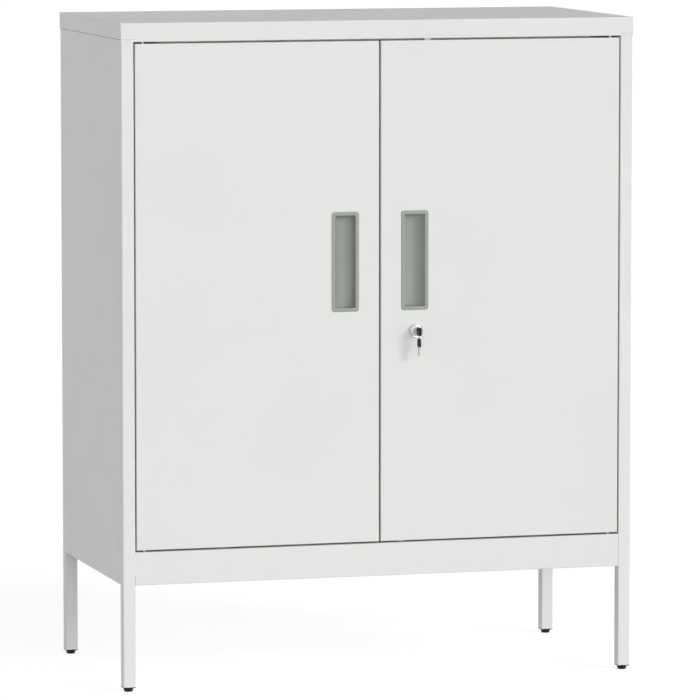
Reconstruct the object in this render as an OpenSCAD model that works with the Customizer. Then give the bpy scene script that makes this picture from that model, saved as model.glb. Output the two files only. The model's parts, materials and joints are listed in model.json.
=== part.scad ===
// Steel tool cabinet on four square legs, with two hinged doors and a three-point lock.
// +Z is up and the floor is z = 0. x = 0 is the middle of the cabinet, and y = 0 is the
// middle between the key's tip and the cap's rear edge. The doors face -Y.
// Modules are written in the body frame: y = 0 is the front face of the doors, and
// z = 0 is the lower edge of the body. on_floor() moves them to the part's own frame.

/* [Body] */
// Width over the side panels
body_w = 800; // [700:10:900]
// Depth from the door faces to the back
body_d = 400; // [360:10:450]
// Height of the sheet metal body, without the legs
body_h = 842; // [800:2:900]
// Thickness of the steel sheet
sheet = 0.8; // [0.6:0.1:1.0]
// Radius of a bend, on the sheet's middle line
bend_r = 0.9; // [0.6:0.1:1.2]
// Width of the front face of each side panel
stile_w = 19; // [18:0.5:20]
// Height of the apron below the doors
apron_h = 50; // [46:0.5:56]
// How far the cap stands proud of the body
cap_lip = 1; // [0.9:0.1:1.5]
// Height of the cap's flange on the sides and at the back
cap_side_h = 24.5; // [22:0.5:26]
// Height of the cap's front flange, which heads the door opening
cap_front_h = 28.5; // [28:0.5:34]

/* [Legs] */
// Width of the square leg tube
leg_w = 19; // [18:0.5:20]
// Wall of the leg tube
leg_wall = 1.5; // [1.2:0.1:1.8]
// Length of the leg tube below the body
leg_h = 154; // [120:2:180]
// Thickness of the plastic flange that closes a leg
end_flange = 1.2; // [1:0.1:2]
// Height of a levelling foot's base
foot_h = 5.8; // [5:0.1:8]
// Diameter of the foot's base at the top
foot_top_d = 15.6; // [14:0.2:17]
// Diameter of the foot's base on the floor
foot_low_d = 12.4; // [11:0.2:14]

/* [Doors] */
// Gap between a door and its stile
side_gap = 2.2; // [2:0.1:3]
// Gap above and below the doors
end_gap = 2.7; // [2.2:0.1:3]
// Gap between the doors
middle_gap = 3; // [2.2:0.1:3.2]
// Thickness of a door
door_t = 20; // [20:0.1:20.5]
// Distance from a door's edge to its hinge axis
hinge_in = 13; // [12.5:0.1:13.5]
// Distance from the door faces back to the hinge axis
hinge_y = 7; // [6.8:0.1:7.2]
// Diameter of the hinge pins
pin_d = 4; // [3:0.5:5]
// Distance from the middle of the cabinet to a handle's middle
handle_x = 54.5; // [54:0.1:55]
// Height of the middle of the handles above the body's lower edge
handle_z = 478.8; // [470:1:520]
// Height of a handle's outer rim
handle_h = 151; // [130:1:160]
// Width of a handle's outer rim
handle_w = 43; // [41:1:44]

/* [Lock] */
// Distance from the middle of the cabinet to the lock's axis
lock_x = 56; // [55.5:0.1:56.5]
// Height of the lock's axis above the body's lower edge
lock_z = 372; // [360:1:380]
// Radius of the circle that the cam's pins run on
cam_r = 14; // [13.5:0.1:14.5]
// Diameter of the lock's rosette
rosette_d = 21; // [20:0.5:23]
// How far the key's bow reaches in front of the doors
key_out = 28; // [27:0.5:30]

/* [Shelves] */
// Distance between the slots of a shelf rail
slot_pitch = 50; // [50:5:60]
// Depth of a shelf's folded edge
shelf_edge = 25; // [20:1:30]
// Slot that carries the lower shelf, counted from the lowest
lower_slot = 4; // [3:1:5]
// Slot that carries the upper shelf
upper_slot = 9; // [8:1:10]

/* [Hidden] */

// colours
enamel = [0.90, 0.90, 0.89];
grey_green = [0.65, 0.67, 0.645];
chrome = [0.85, 0.86, 0.87];
zinc = [0.70, 0.71, 0.73];
black = [0.10, 0.10, 0.11];
nylon = [0.93, 0.92, 0.88];
rubber_grey = [0.35, 0.35, 0.36];

// clearances
slack = 0.2; // between pieces that are screwed together
fit = 0.075; // radial, where something turns or slides in a bore
round_fn = 48;
bend_steps = 3;
half_sheet = sheet / 2;

// the part's own frame
front_y = (key_out - body_d - cap_lip) / 2;
body_z = leg_h + end_flange + foot_h;

// body
side_x = body_w / 2;
stile_x = side_x - stile_w;
header_z = body_h - cap_front_h;
stile_return = 30; // how far a stile's inner fold runs back
frame_lip = 11.7; // the last fold of stiles, header and bottom
rear_lip = 12;
bottom_lip = 24;
apron_return = 20; // how far the apron's lower edge runs back
cap_seam = 4; // from the cap's top down to where its flanges are drawn as one fold
bracket_h = 21; // ears that screw the header to the stiles
back_y = body_d - 2 * sheet - slack; // front face of the back panel
back_edge = 16;
bead_x = [-body_w / 4, 0, body_w / 4]; // upright beads pressed into the back
bead_w = 16;
bead_h = 2.2;
screw_d = 4;
screw_head_d = 8;
screw_head_h = 2.2;
header_screw_y = [11, 21];
header_screw_z = header_z + 12;
rear_screw_z = [70, 290, 530, 770];
stop_y = door_t + 1.3; // front face of the door stops
stop_h = 8;
stop_half_w = 340;
low_stop_x = [-250, -110, 110, 250];
low_stop_half_w = 20;

// legs and what holds them
leg_c = leg_w / 2; // from the body's corner to the leg's axis, in x and in y
spigot_w = leg_w - 2 * leg_wall - 1;
spigot_h = 24;
notch_h = 6; // height of the room left in the corners for the brackets
notch_d = stile_return + 1;
plate_w = 36;
plate_l = 84;
plate_t = 2.5;
plate_z = 2 * sheet + slack;
bolt_d = 6;
bolt_head_d = 10;
bolt_head_h = 3.5;
bolt_nut_d = 11.5; // over the nut's corners
bolt_nut_h = 5;
bolt_places = [[12, 42], [12, 72]]; // on a bracket, from the body's corner
stud_d = 8;
stud_h = 22;
insert_h = 18;

// doors
door_x0 = middle_gap / 2;
door_x1 = stile_x - side_gap;
door_z0 = apron_h + end_gap;
door_z1 = header_z - end_gap;
door_r = 1.2;
door_hem = 14;
hinge_x = door_x1 - hinge_in;
pin_reach = end_gap + 2.8; // how far a pin stands out of its door
pin_inside = 14;
collar_d = 9;
bush_d = 8;
bush_flange_d = 12;
bush_flange_t = 1.5;
bush_h = 6;
bumper_d = 8;
bumper_t = 1;
bumper_x = [110, 250];
bumper_in = 4.8; // from a door's top or bottom edge to a bumper's middle
stiffener_x = (door_x0 + door_x1) / 2;
stiffener_w = 60;
stiffener_d = 16;

// handles
rim_t = 1;
rim_r = 4.5;
rim_w = 5.8;
cup_depth = 14;
cup_wall = 1.3;
cup_half = handle_w / 2 - rim_w;
cup_h = handle_h - 2 * rim_w;
cup_corner_r = 6; // between the grip wall and the deepest part
cup_flat_x = -6; // where the far slope starts to rise
cup_slope_r = ((cup_half - cup_flat_x) * (cup_half - cup_flat_x) + cup_depth * cup_depth)
    / (2 * cup_depth);
cup_steps = 10;

// lock
rosette_out = 6;
barrel_d = 16;
barrel_y1 = 12.5;
nut_af = 22;
nut_t = 2.5;
plug_d = 12;
plug_face = 0.6; // how far the plug's face lies behind the rosette's
hub_d = 9;
rod_y0 = 13.2;
rod_t = 2;
rod_w = 10;
rod_y = rod_y0 + rod_t / 2;
bolt_y0 = 15.6;
bolt_t = 1.8;
cam_y0 = 17.8;
cam_t = 1.6;
drive_w = 6;
cam_pin_d = 3;
upper_rod_x = lock_x + 22;
lower_rod_x = lock_x - 17;
side_bolt_z = 18; // from the lock's axis up to the side bolt's middle line
pin_offset = cam_r * sin(45);
slot_half_h = cam_pin_d / 2 + 0.6; // room for the slide's rate, which isn't quite even
slot_x0 = pin_offset - cam_pin_d / 2 - 0.5;
slot_x1 = cam_r + cam_pin_d / 2 + 0.5;
ear_x0 = slot_x0 - 2.2;
ear_half_h = 5.5;
rod_tip = 0.3; // between a rod's tip and the frame when the lock is open
guide_h = 18;
upper_guide_z = 600;
lower_guide_z = 200;
bit_pitch = 2.6; // between the cuts of a key
bit_depth = 1.4;

// keys
key_t = 2.2;
blade_t = 1.9;
blade_h = 7.2;
blade_in = 17;
bow_y0 = 10; // from the doors to the bow's near end
bow_h = 13;
bow_hole_y = 19;
bow_hole_r = 2.4;
ring_r = 6.6;
ring_wire_r = 0.6;
spare_hole_r = 1.8;
spare_w = 13;
spare_h = 13.4;
spare_blade = 14;
spare_hole_drop = 3.2; // from the head's top down to its hole
ring_z = lock_z - ring_r; // middle of the ring
spare_z = lock_z - 2 * ring_r; // hinge of the spare key on the ring

// shelves
rail_deep = 8;
rail_w = 20;
front_rail_y = 60;
rear_rail_y = body_d - 70;
rail_z0 = apron_h + 6;
rail_z1 = header_z - 4;
slot_z0 = apron_h + 25.5;
slot_w = 12;
slot_h = 12;
slots = floor((rail_z1 - slot_z0 - slot_h) / slot_pitch);
rail_x = side_x - sheet - slack - rail_deep; // inner face of a rail
shelf_x = rail_x - 1;
shelf_y0 = 36;
shelf_y1 = body_d - 5;
clip_ledge = 14;
clip_t = 2;
clip_w = 11;

// ---- shapes that repeat ----

function along(a) = [cos(a), sin(a)];
function left_of(a) = [-sin(a), cos(a)];
function heading(p, q) = atan2(q.y - p.y, q.x - p.x);
function wrap(a) = a > 180 ? a - 360 : a < -180 ? a + 360 : a;

// points of the bend from p through q to s, with radius r, moved aside by off
function bend(p, q, s, r, off) =
    let (a = heading(p, q),
         turn = wrap(heading(q, s) - a),
         way = sign(turn),
         start = q - r * tan(abs(turn) / 2) * along(a),
         centre = start + way * r * left_of(a))
    [for (k = [0 : bend_steps]) centre + (off - way * r) * left_of(a + turn * k / bend_steps)];

// one edge of a folded strip whose middle line is p
function strip_edge(p, r, off) =
    let (n = len(p) - 1)
    concat([p[0] + off * left_of(heading(p[0], p[1]))],
        [for (i = [1 : 1 : n - 1]) each bend(p[i - 1], p[i], p[i + 1], r, off)],
        [p[n] + off * left_of(heading(p[n - 1], p[n]))]);

function reversed(p) = [for (i = [len(p) - 1 : -1 : 0]) p[i]];

// outline of a folded sheet whose middle line is p
function folded(p) = concat(strip_edge(p, bend_r, half_sheet),
    reversed(strip_edge(p, bend_r, -half_sheet)));

// outline of a polygon p with each corner i rounded to r[i], or left sharp at 0
function rounded(p, r) =
    let (n = len(p))
    [for (i = [0 : n - 1]) each r[i] == 0 ? [p[i]]
        : bend(p[(i + n - 1) % n], p[i], p[(i + 1) % n], r[i], 0)];

function corners(x0, y0, x1, y1) = [[x0, y0], [x1, y0], [x1, y1], [x0, y1]];

module box(lo, hi) {
    translate(lo) cube(hi - lo);
}

// an outline in x and y, drawn from z0 to z1
module plan(p, z0, z1) {
    translate([0, 0, z0]) linear_extrude(z1 - z0) polygon(p);
}

// an outline in y and z, drawn from x0 to x1
module side_section(p, x0, x1) {
    translate([x0, 0, 0]) rotate([90, 0, 90]) linear_extrude(x1 - x0) polygon(p);
}

// an outline in x and z, drawn from y0 to y1
module front_section(p, y0, y1) {
    translate([0, y1, 0]) rotate([90, 0, 0]) linear_extrude(y1 - y0) polygon(p);
}

// a cylinder along y
module rod_y_way(d, y0, y1) {
    translate([0, y1, 0]) rotate([90, 0, 0]) cylinder(d = d, h = y1 - y0, $fn = round_fn);
}

// a cylinder along x
module rod_x_way(d, x0, x1) {
    translate([x0, 0, 0]) rotate([0, 90, 0]) cylinder(d = d, h = x1 - x0, $fn = round_fn);
}

module on_floor() {
    translate([0, front_y, body_z]) children();
}

module right_side() {
    mirror([1, 0, 0]) children();
}

// children as drawn for the front left corner, at all four corners
module each_corner() {
    for (sx = [0, 1], sy = [0, 1]) corner(sx, sy) children();
}

module corner(right, rear) {
    translate([0, rear * body_d, 0]) mirror([0, rear, 0]) mirror([right, 0, 0]) children();
}

// ---- the frame ----

// solid block of a cap: rounded upper edges and corners
module cap_block(inset, low) {
    x = side_x + cap_lip - inset;
    y0 = inset - cap_lip;
    y1 = body_d + cap_lip - inset;
    top = body_h - inset;
    r = bend_r + half_sheet - inset;
    intersection() {
        plan(rounded(corners(-x, y0, x, y1), [r, r, r, r]), low, top);
        side_section(rounded(corners(y0, low - 1, y1, top), [0, 0, r, r]), -x, x);
        front_section(rounded(corners(-x, low - 1, x, top), [0, 0, r, r]), y0, y1);
    }
}

// The header is the cap's front flange folded back under itself, with a lip that stops the doors.
module header() {
    inner = stile_x - slack;
    outer = side_x + cap_lip - bend_r;
    front = half_sheet - cap_lip;
    low = header_z + half_sheet;
    fold = [[stile_return - half_sheet, header_z + frame_lip], [stile_return - half_sheet, low],
        [front, low], [front, body_h - cap_seam]];
    side_section(folded(fold), -inner, inner);
    box([-stop_half_w, stop_y, header_z - stop_h], [stop_half_w, stop_y + sheet, low]);
    for (m = [0, 1]) mirror([m, 0, 0]) {
        box([inner - slack, -cap_lip, header_z], [outer + slack, sheet - cap_lip, body_h - cap_seam]);
        box([inner - sheet, 6, low], [inner, stile_return - 4, header_z + bracket_h]);
    }
}

module header_holes() {
    for (s = [-1, 1]) {
        translate([s * hinge_x, hinge_y, header_z - 1]) cylinder(d = bush_d, h = 3, $fn = round_fn);
        for (y = header_screw_y) translate([0, y, header_screw_z])
            rod_x_way(screw_d + slack, s * stile_x - 3, s * stile_x + 3);
    }
    box([upper_rod_x - rod_w / 2 - 1, rod_y - rod_t / 2 - 1, header_z - 1],
        [upper_rod_x + rod_w / 2 + 1, rod_y + rod_t / 2 + 1, header_z + 2]);
}

module top_cap() {
    color(enamel) on_floor() difference() {
        union() {
            difference() {
                cap_block(0, body_h - cap_side_h);
                cap_block(sheet, body_h - cap_side_h - 1);
            }
            header();
        }
        header_holes();
    }
}

module side_panel() {
    wall = side_x - half_sheet;
    fold = [[-stile_x - frame_lip, stile_return - half_sheet],
        [-stile_x - half_sheet, stile_return - half_sheet], [-stile_x - half_sheet, half_sheet],
        [-wall, half_sheet], [-wall, body_d - half_sheet],
        [rear_lip - side_x, body_d - half_sheet]];
    lip = [[-side_x + half_sheet, 10], [-side_x + half_sheet, half_sheet],
        [-side_x + bottom_lip, half_sheet]];
    difference() {
        union() {
            plan(folded(fold), 0, body_h - sheet - slack);
            front_section(folded(lip), sheet + slack, body_d - sheet - slack);
        }
        for (rear = [0, 1]) corner(0, rear) {
            // room for the leg bracket, behind the front and rear faces
            box([-side_x + sheet + 0.4, sheet + 0.2, -1], [-side_x + leg_w, leg_w, notch_h]);
            box([-stile_x - frame_lip - 1, sheet + 0.2, sheet], [-stile_x + 1, notch_d, notch_h]);
            // room for the apron's lower return
            box([-stile_x - slack, sheet, -1], [-side_x + bottom_lip + 1, apron_return + slack, sheet + 1]);
            for (p = bolt_places) translate([p.x - side_x, p.y, -1])
                cylinder(d = bolt_d + 0.4, h = 4, $fn = round_fn);
        }
        for (z = rear_screw_z) translate([-side_x + rear_lip / 2, 0, z])
            rod_y_way(screw_d + slack, body_d - 2, body_d + 1);
        for (y = header_screw_y) translate([0, y, header_screw_z])
            rod_x_way(screw_d + slack, -stile_x - 3, -stile_x + 3);
    }
}

module left_side_panel() {
    color(enamel) on_floor() side_panel();
}

module right_side_panel() {
    color(enamel) on_floor() right_side() side_panel();
}

module back_panel() {
    x = side_x - sheet - 0.8;
    b = bead_w / 2;
    bead_z0 = apron_h + 40;
    bead_z1 = header_z - 40;
    edge = [[back_y - back_edge, body_h - 3], [back_y + half_sheet, body_h - 3],
        [back_y + half_sheet, notch_h + 2], [back_y - 4, notch_h + 2]];
    color(enamel) on_floor() difference() {
        union() {
            side_section(folded(edge), -x, x);
            for (bx = bead_x) translate([bx, 0, 0])
                box([-b, back_y - bead_h, bead_z0], [b, back_y + 0.1, bead_z1]);
        }
        for (bx = bead_x) translate([bx, 0, 0])
            box([sheet - b, back_y - bead_h + sheet, bead_z0 + sheet],
                [b - sheet, back_y + 2, bead_z1 - sheet]);
        for (s = [-1, 1], z = rear_screw_z) translate([s * (side_x - rear_lip / 2), 0, z])
            rod_y_way(screw_d + slack, back_y - 2, body_d + 1);
    }
}

module floor_fold() {
    rear = back_y - 1.4;
    fold = [[apron_return, half_sheet], [half_sheet, half_sheet], [half_sheet, apron_h - half_sheet],
        [rear, apron_h - half_sheet], [rear, notch_h + 3]];
    side_section(folded(fold), slack - stile_x, stile_x - slack);
}

module bottom_panel() {
    wall = side_x - 2 * sheet - slack;
    low = sheet + slack / 2 + half_sheet;
    fold = [[-stile_x + 1, apron_h - half_sheet], [-wall, apron_h - half_sheet], [-wall, low],
        [-side_x + bottom_lip, low]];
    color(enamel) on_floor() difference() {
        union() {
            floor_fold();
            for (m = [0, 1]) mirror([m, 0, 0])
                front_section(folded(fold), notch_d, body_d - notch_d);
            for (x = low_stop_x) box([x - low_stop_half_w, stop_y, apron_h - half_sheet],
                [x + low_stop_half_w, stop_y + sheet, apron_h + stop_h]);
        }
        for (s = [-1, 1]) translate([s * hinge_x, hinge_y, apron_h - 3])
            cylinder(d = bush_d, h = 4, $fn = round_fn);
        box([lower_rod_x - rod_w / 2 - 1, rod_y - rod_t / 2 - 1, apron_h - 2],
            [lower_rod_x + rod_w / 2 + 1, rod_y + rod_t / 2 + 1, apron_h + 1]);
        each_corner() for (p = bolt_places) translate([p.x - side_x, p.y, -1])
            cylinder(d = bolt_d + 0.4, h = 4, $fn = round_fn);
    }
}

// ---- shelves ----

module shelf_rail() {
    wall = side_x - sheet - slack;
    fold = [[-wall, half_sheet], [-rail_x - half_sheet, half_sheet],
        [-rail_x - half_sheet, rail_w - half_sheet], [-wall, rail_w - half_sheet]];
    difference() {
        plan(folded(fold), rail_z0, rail_z1);
        for (k = [0 : slots]) translate([-rail_x, rail_w / 2, slot_z0 + k * slot_pitch])
            box([-2, -slot_w / 2, -slot_h / 2], [2, slot_w / 2, slot_h / 2]);
    }
}

module left_front_shelf_rail() {
    color(enamel) on_floor() translate([0, front_rail_y, 0]) shelf_rail();
}

module right_front_shelf_rail() {
    color(enamel) on_floor() right_side() translate([0, front_rail_y, 0]) shelf_rail();
}

module left_rear_shelf_rail() {
    color(enamel) on_floor() translate([0, rear_rail_y, 0]) shelf_rail();
}

module right_rear_shelf_rail() {
    color(enamel) on_floor() right_side() translate([0, rear_rail_y, 0]) shelf_rail();
}

// height of the ledge of the clips that hang in a slot
function ledge_z(slot) = slot_z0 + slot * slot_pitch + 2;

module shelf(slot) {
    low = ledge_z(slot);
    top = low + shelf_edge;
    lip = 12;
    x = shelf_x - half_sheet;
    front = shelf_y0 + half_sheet;
    rear = shelf_y1 - half_sheet;
    ends = [[front + lip, low + half_sheet], [front, low + half_sheet], [front, top - half_sheet],
        [rear, top - half_sheet], [rear, low + half_sheet], [rear - lip, low + half_sheet]];
    sides = [[lip - x, low + half_sheet], [-x, low + half_sheet], [-x, top - half_sheet],
        [x, top - half_sheet], [x, low + half_sheet], [x - lip, low + half_sheet]];
    color(enamel) on_floor() {
        side_section(folded(ends), bend_r - shelf_x, shelf_x - bend_r);
        front_section(folded(sides), shelf_y0 + bend_r, shelf_y1 - bend_r);
    }
}

module upper_shelf() {
    shelf(upper_slot);
}

module lower_shelf() {
    shelf(lower_slot);
}

// A clip's tongue goes through a slot and drops behind the rail's face.
module shelf_clip() {
    x = rail_x;
    shape = [[clip_ledge - x, -clip_t], [clip_ledge - x, 0], [-x - sheet - 2.4, 0],
        [-x - sheet - 2.4, -6.5], [-x - sheet - 0.4, -6.5], [-x - sheet - 0.4, -clip_t],
        [-x + 0.15, -clip_t], [-x + 0.15, -14], [-x + 1.35, -14], [-x + 1.35, -clip_t]];
    front_section(shape, -clip_w / 2, clip_w / 2);
}

module shelf_clips() {
    color(zinc) on_floor() for (slot = [lower_slot, upper_slot], m = [0, 1],
            y = [front_rail_y, rear_rail_y])
        mirror([m, 0, 0]) translate([0, y + rail_w / 2, ledge_z(slot)]) shelf_clip();
}

// ---- legs ----

module leg() {
    color(enamel) on_floor() translate([leg_c - side_x, leg_c, -leg_h]) difference() {
        plan(rounded(corners(-leg_c, -leg_c, leg_c, leg_c), [1.5, 1.5, 1.5, 1.5]), 0, leg_h);
        inner = leg_c - leg_wall;
        box([-inner, -inner, -1], [inner, inner, leg_h + 1]);
    }
}

module leg_bracket() {
    c = spigot_w / 2;
    translate([leg_c - side_x, leg_c, 0])
        box([-c, -c, -spigot_h], [c, c, plate_z + plate_t]);
    difference() {
        plan(rounded(corners(-side_x + 3, 1.6, -side_x + plate_w, plate_l), [1, 3, 12, 3]),
            plate_z, plate_z + plate_t);
        for (p = bolt_places) translate([p.x - side_x, p.y, 0])
            cylinder(d = bolt_d + 0.4, h = 9, $fn = round_fn);
    }
}

module leg_brackets() {
    color(zinc) on_floor() each_corner() leg_bracket();
}

// A bolt comes up through the lips, with its nut on the bracket.
module leg_bolt() {
    nut_z = plate_z + plate_t + 0.1;
    translate([0, 0, -bolt_head_h - 0.1]) cylinder(d = bolt_head_d, h = bolt_head_h, $fn = round_fn);
    translate([0, 0, -0.5]) cylinder(d = bolt_d, h = nut_z + bolt_nut_h + 3.4, $fn = round_fn);
    translate([0, 0, nut_z]) cylinder(d = bolt_nut_d, h = bolt_nut_h, $fn = 6);
}

module leg_bolts() {
    color(zinc) on_floor() each_corner() for (p = bolt_places)
        translate([p.x - side_x, p.y, 0]) leg_bolt();
}

module leg_end_insert() {
    c = leg_c - leg_wall - 0.1;
    translate([leg_c - side_x, leg_c, -leg_h]) difference() {
        union() {
            plan(rounded(corners(-leg_c, -leg_c, leg_c, leg_c), [1.5, 1.5, 1.5, 1.5]),
                -end_flange, 0);
            box([-c, -c, -0.1], [c, c, insert_h]);
        }
        translate([0, 0, -end_flange - 1])
            cylinder(d = stud_d + 2 * fit, h = insert_h + end_flange + 2, $fn = round_fn);
    }
}

module leg_end_inserts() {
    color(black) on_floor() each_corner() leg_end_insert();
}

module levelling_foot() {
    base_top = -leg_h - end_flange - 0.1;
    translate([leg_c - side_x, leg_c, 0]) {
        translate([0, 0, -body_z]) cylinder(d1 = foot_low_d, d2 = foot_top_d,
            h = base_top + body_z, $fn = round_fn);
        translate([0, 0, base_top - 1]) cylinder(d = stud_d, h = stud_h, $fn = round_fn);
    }
}

module front_left_foot() {
    color(black) on_floor() corner(0, 0) levelling_foot();
}

module front_right_foot() {
    color(black) on_floor() corner(1, 0) levelling_foot();
}

module rear_left_foot() {
    color(black) on_floor() corner(0, 1) levelling_foot();
}

module rear_right_foot() {
    color(black) on_floor() corner(1, 1) levelling_foot();
}

module front_left_leg() {
    corner_leg(0, 0);
}

module front_right_leg() {
    corner_leg(1, 0);
}

module rear_left_leg() {
    corner_leg(0, 1);
}

module rear_right_leg() {
    corner_leg(1, 1);
}

// mirrored about the middle of the body, because leg() is already on the floor
module corner_leg(right, rear) {
    translate([0, rear * (body_d + 2 * front_y), 0]) mirror([0, rear, 0]) mirror([right, 0, 0]) leg();
}

// ---- fasteners and bushes of the frame ----

module frame_screws() {
    ear_x = -stile_x + slack + sheet + 0.1;
    color(zinc) on_floor() for (m = [0, 1]) mirror([m, 0, 0]) {
        for (z = rear_screw_z) translate([rear_lip / 2 - side_x, 0, z]) {
            rod_y_way(screw_head_d, back_y - screw_head_h - 0.1, back_y - 0.1);
            rod_y_way(screw_d, back_y - 1, body_d - 0.1);
        }
        for (y = header_screw_y) translate([0, y, header_screw_z]) {
            rod_x_way(screw_head_d, ear_x, ear_x + screw_head_h);
            rod_x_way(screw_d, -stile_x - 3, ear_x + 1);
        }
    }
}

// a bush with its mouth at z = 0, standing up into the header
module hinge_bush() {
    difference() {
        union() {
            cylinder(d = bush_d - 0.1, h = bush_h, $fn = round_fn);
            translate([0, 0, sheet + 0.1]) cylinder(d = bush_flange_d, h = bush_flange_t, $fn = round_fn);
        }
        translate([0, 0, -1]) cylinder(d = pin_d + 2 * fit, h = bush_h + 0.5, $fn = round_fn);
    }
}

module hinge_bushes() {
    color(nylon) on_floor() for (s = [-1, 1]) {
        translate([s * hinge_x, hinge_y, header_z]) hinge_bush();
        translate([s * hinge_x, hinge_y, apron_h]) mirror([0, 0, 1]) hinge_bush();
    }
}

// ---- doors ----

// a door's block, drawn for the right door, with rounded edges at the front
module door_block(inset, y1) {
    r = door_r - inset;
    x0 = door_x0 + inset;
    x1 = door_x1 - inset;
    z0 = door_z0 + inset;
    z1 = door_z1 - inset;
    intersection() {
        plan(rounded(corners(x0, inset, x1, y1), [r, r, 0, 0]), z0, z1);
        side_section(rounded(corners(inset, z0, y1, z1), [r, 0, 0, r]), x0, x1);
    }
}

module door_tray() {
    difference() {
        door_block(0, door_t);
        door_block(sheet, door_t - sheet);
        box([door_x0 + door_hem, door_t - 2, door_z0 + door_hem],
            [door_x1 - door_hem, door_t + 1, door_z1 - door_hem]);
        box([handle_x - cup_half - cup_wall - 0.1, -1, handle_z - cup_h / 2 - cup_wall - 0.1],
            [handle_x + cup_half + cup_wall + 0.1, 2, handle_z + cup_h / 2 + cup_wall + 0.1]);
        for (z = [door_z0, door_z1]) translate([hinge_x, hinge_y, z - 2])
            cylinder(d = pin_d + slack / 2, h = 4, $fn = round_fn);
        // the side bolt's way through the edge
        box([door_x0 - 1, bolt_y0 - 0.4, lock_z + side_bolt_z - rod_w / 2 - 0.5],
            [door_x0 + 2, bolt_y0 + bolt_t + 0.4, lock_z + side_bolt_z + rod_w / 2 + 0.5]);
    }
}

module left_door_skin() {
    color(enamel) on_floor() right_side() door_tray();
}

module right_door_skin() {
    color(enamel) on_floor() difference() {
        door_tray();
        translate([lock_x, 0, lock_z]) rod_y_way(barrel_d + 0.2, -1, 2);
        box([upper_rod_x - rod_w / 2 - 0.3, rod_y0 - 0.3, door_z1 - 2],
            [upper_rod_x + rod_w / 2 + 0.3, rod_y0 + rod_t + 0.3, door_z1 + 1]);
        box([lower_rod_x - rod_w / 2 - 0.3, rod_y0 - 0.3, door_z0 - 1],
            [lower_rod_x + rod_w / 2 + 0.3, rod_y0 + rod_t + 0.3, door_z0 + 2]);
    }
}

// hat section glued to the inside of a door
module door_stiffener() {
    top = sheet + 0.1 + half_sheet;
    foot_x = stiffener_w / 2;
    crown_x = foot_x - 14;
    fold = [[-foot_x, top], [-crown_x, top], [-crown_x, stiffener_d], [crown_x, stiffener_d],
        [crown_x, top], [foot_x, top]];
    translate([stiffener_x, 0, 0]) plan(folded(fold), door_z0 + 20, door_z1 - 20);
}

module left_door_stiffener() {
    color(enamel) on_floor() right_side() door_stiffener();
}

module right_door_stiffener() {
    color(enamel) on_floor() door_stiffener();
}

// points of the arc around c with radius r, from angle a0 to a1
function arc(c, r, a0, a1) = [for (k = [0 : cup_steps]) c + r * along(a0 + (a1 - a0) * k / cup_steps)];

// A pull's trough has a steep wall for the fingers on the side of the door's free edge,
// and rises in one long curve on the other side. It is grown by out, and starts at y0.
function trough(out, y0) =
    let (slope_c = [cup_flat_x, cup_depth - cup_slope_r],
         corner_c = [cup_corner_r - cup_half, cup_depth - cup_corner_r],
         rim_a = acos(min(1, (cup_half + out - cup_flat_x) / (cup_slope_r + out))))
    concat([[cup_half + out, y0]], arc(slope_c, cup_slope_r + out, rim_a, 90),
        arc(corner_c, cup_corner_r + out, 90, 180), [[-cup_half - out, y0]]);

module handle() {
    w = handle_w / 2;
    h = handle_h / 2;
    translate([handle_x, 0, handle_z]) difference() {
        union() {
            front_section(rounded(corners(-w, -h, w, h), [rim_r, rim_r, rim_r, rim_r]), -rim_t, -0.02);
            plan(trough(cup_wall, -0.1), -cup_h / 2 - cup_wall, cup_h / 2 + cup_wall);
        }
        plan(trough(0, -rim_t - 1), -cup_h / 2, cup_h / 2);
    }
}

module left_handle() {
    color(grey_green) on_floor() right_side() handle();
}

module right_handle() {
    color(grey_green) on_floor() handle();
}

// a pin that stands out of a door's top edge at z = 0, with its collar inside
module hinge_pin() {
    translate([0, 0, -pin_inside]) cylinder(d = pin_d, h = pin_inside + pin_reach, $fn = round_fn);
    translate([0, 0, -sheet - 2.1]) cylinder(d = collar_d, h = 2, $fn = round_fn);
}

module hinge_pins() {
    translate([hinge_x, hinge_y, door_z1]) hinge_pin();
    translate([hinge_x, hinge_y, door_z0]) mirror([0, 0, 1]) hinge_pin();
}

module left_hinge_pins() {
    color(zinc) on_floor() right_side() hinge_pins();
}

module right_hinge_pins() {
    color(zinc) on_floor() hinge_pins();
}

module door_bumpers() {
    for (z = [door_z0 + bumper_in, door_z1 - bumper_in], x = bumper_x)
        translate([x, 0, z]) rod_y_way(bumper_d, door_t, door_t + bumper_t);
}

module left_door_bumpers() {
    color(rubber_grey) on_floor() right_side() door_bumpers();
}

module right_door_bumpers() {
    color(rubber_grey) on_floor() door_bumpers();
}

// ---- lock ----

// a channel on the door's inside that a flat bar runs through, upright, from z0 to z1
module guide(bar_y0, bar_t, z0, z1) {
    deep = bar_y0 + bar_t + 0.3 + half_sheet;
    arm = rod_w / 2 + 0.3 + half_sheet;
    top = sheet + 0.1 + half_sheet;
    fold = [[-arm - 8, top], [-arm, top], [-arm, deep], [arm, deep], [arm, top], [arm + 8, top]];
    plan(folded(fold), z0, z1);
}

module rod_guides() {
    color(zinc) on_floor() {
        translate([upper_rod_x, 0, 0]) guide(rod_y0, rod_t, upper_guide_z, upper_guide_z + guide_h);
        translate([lower_rod_x, 0, 0]) guide(rod_y0, rod_t, lower_guide_z, lower_guide_z + guide_h);
        translate([0, 0, lock_z + side_bolt_z]) rotate([0, -90, 0]) guide(bolt_y0, bolt_t, -20, -8);
    }
}

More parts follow.
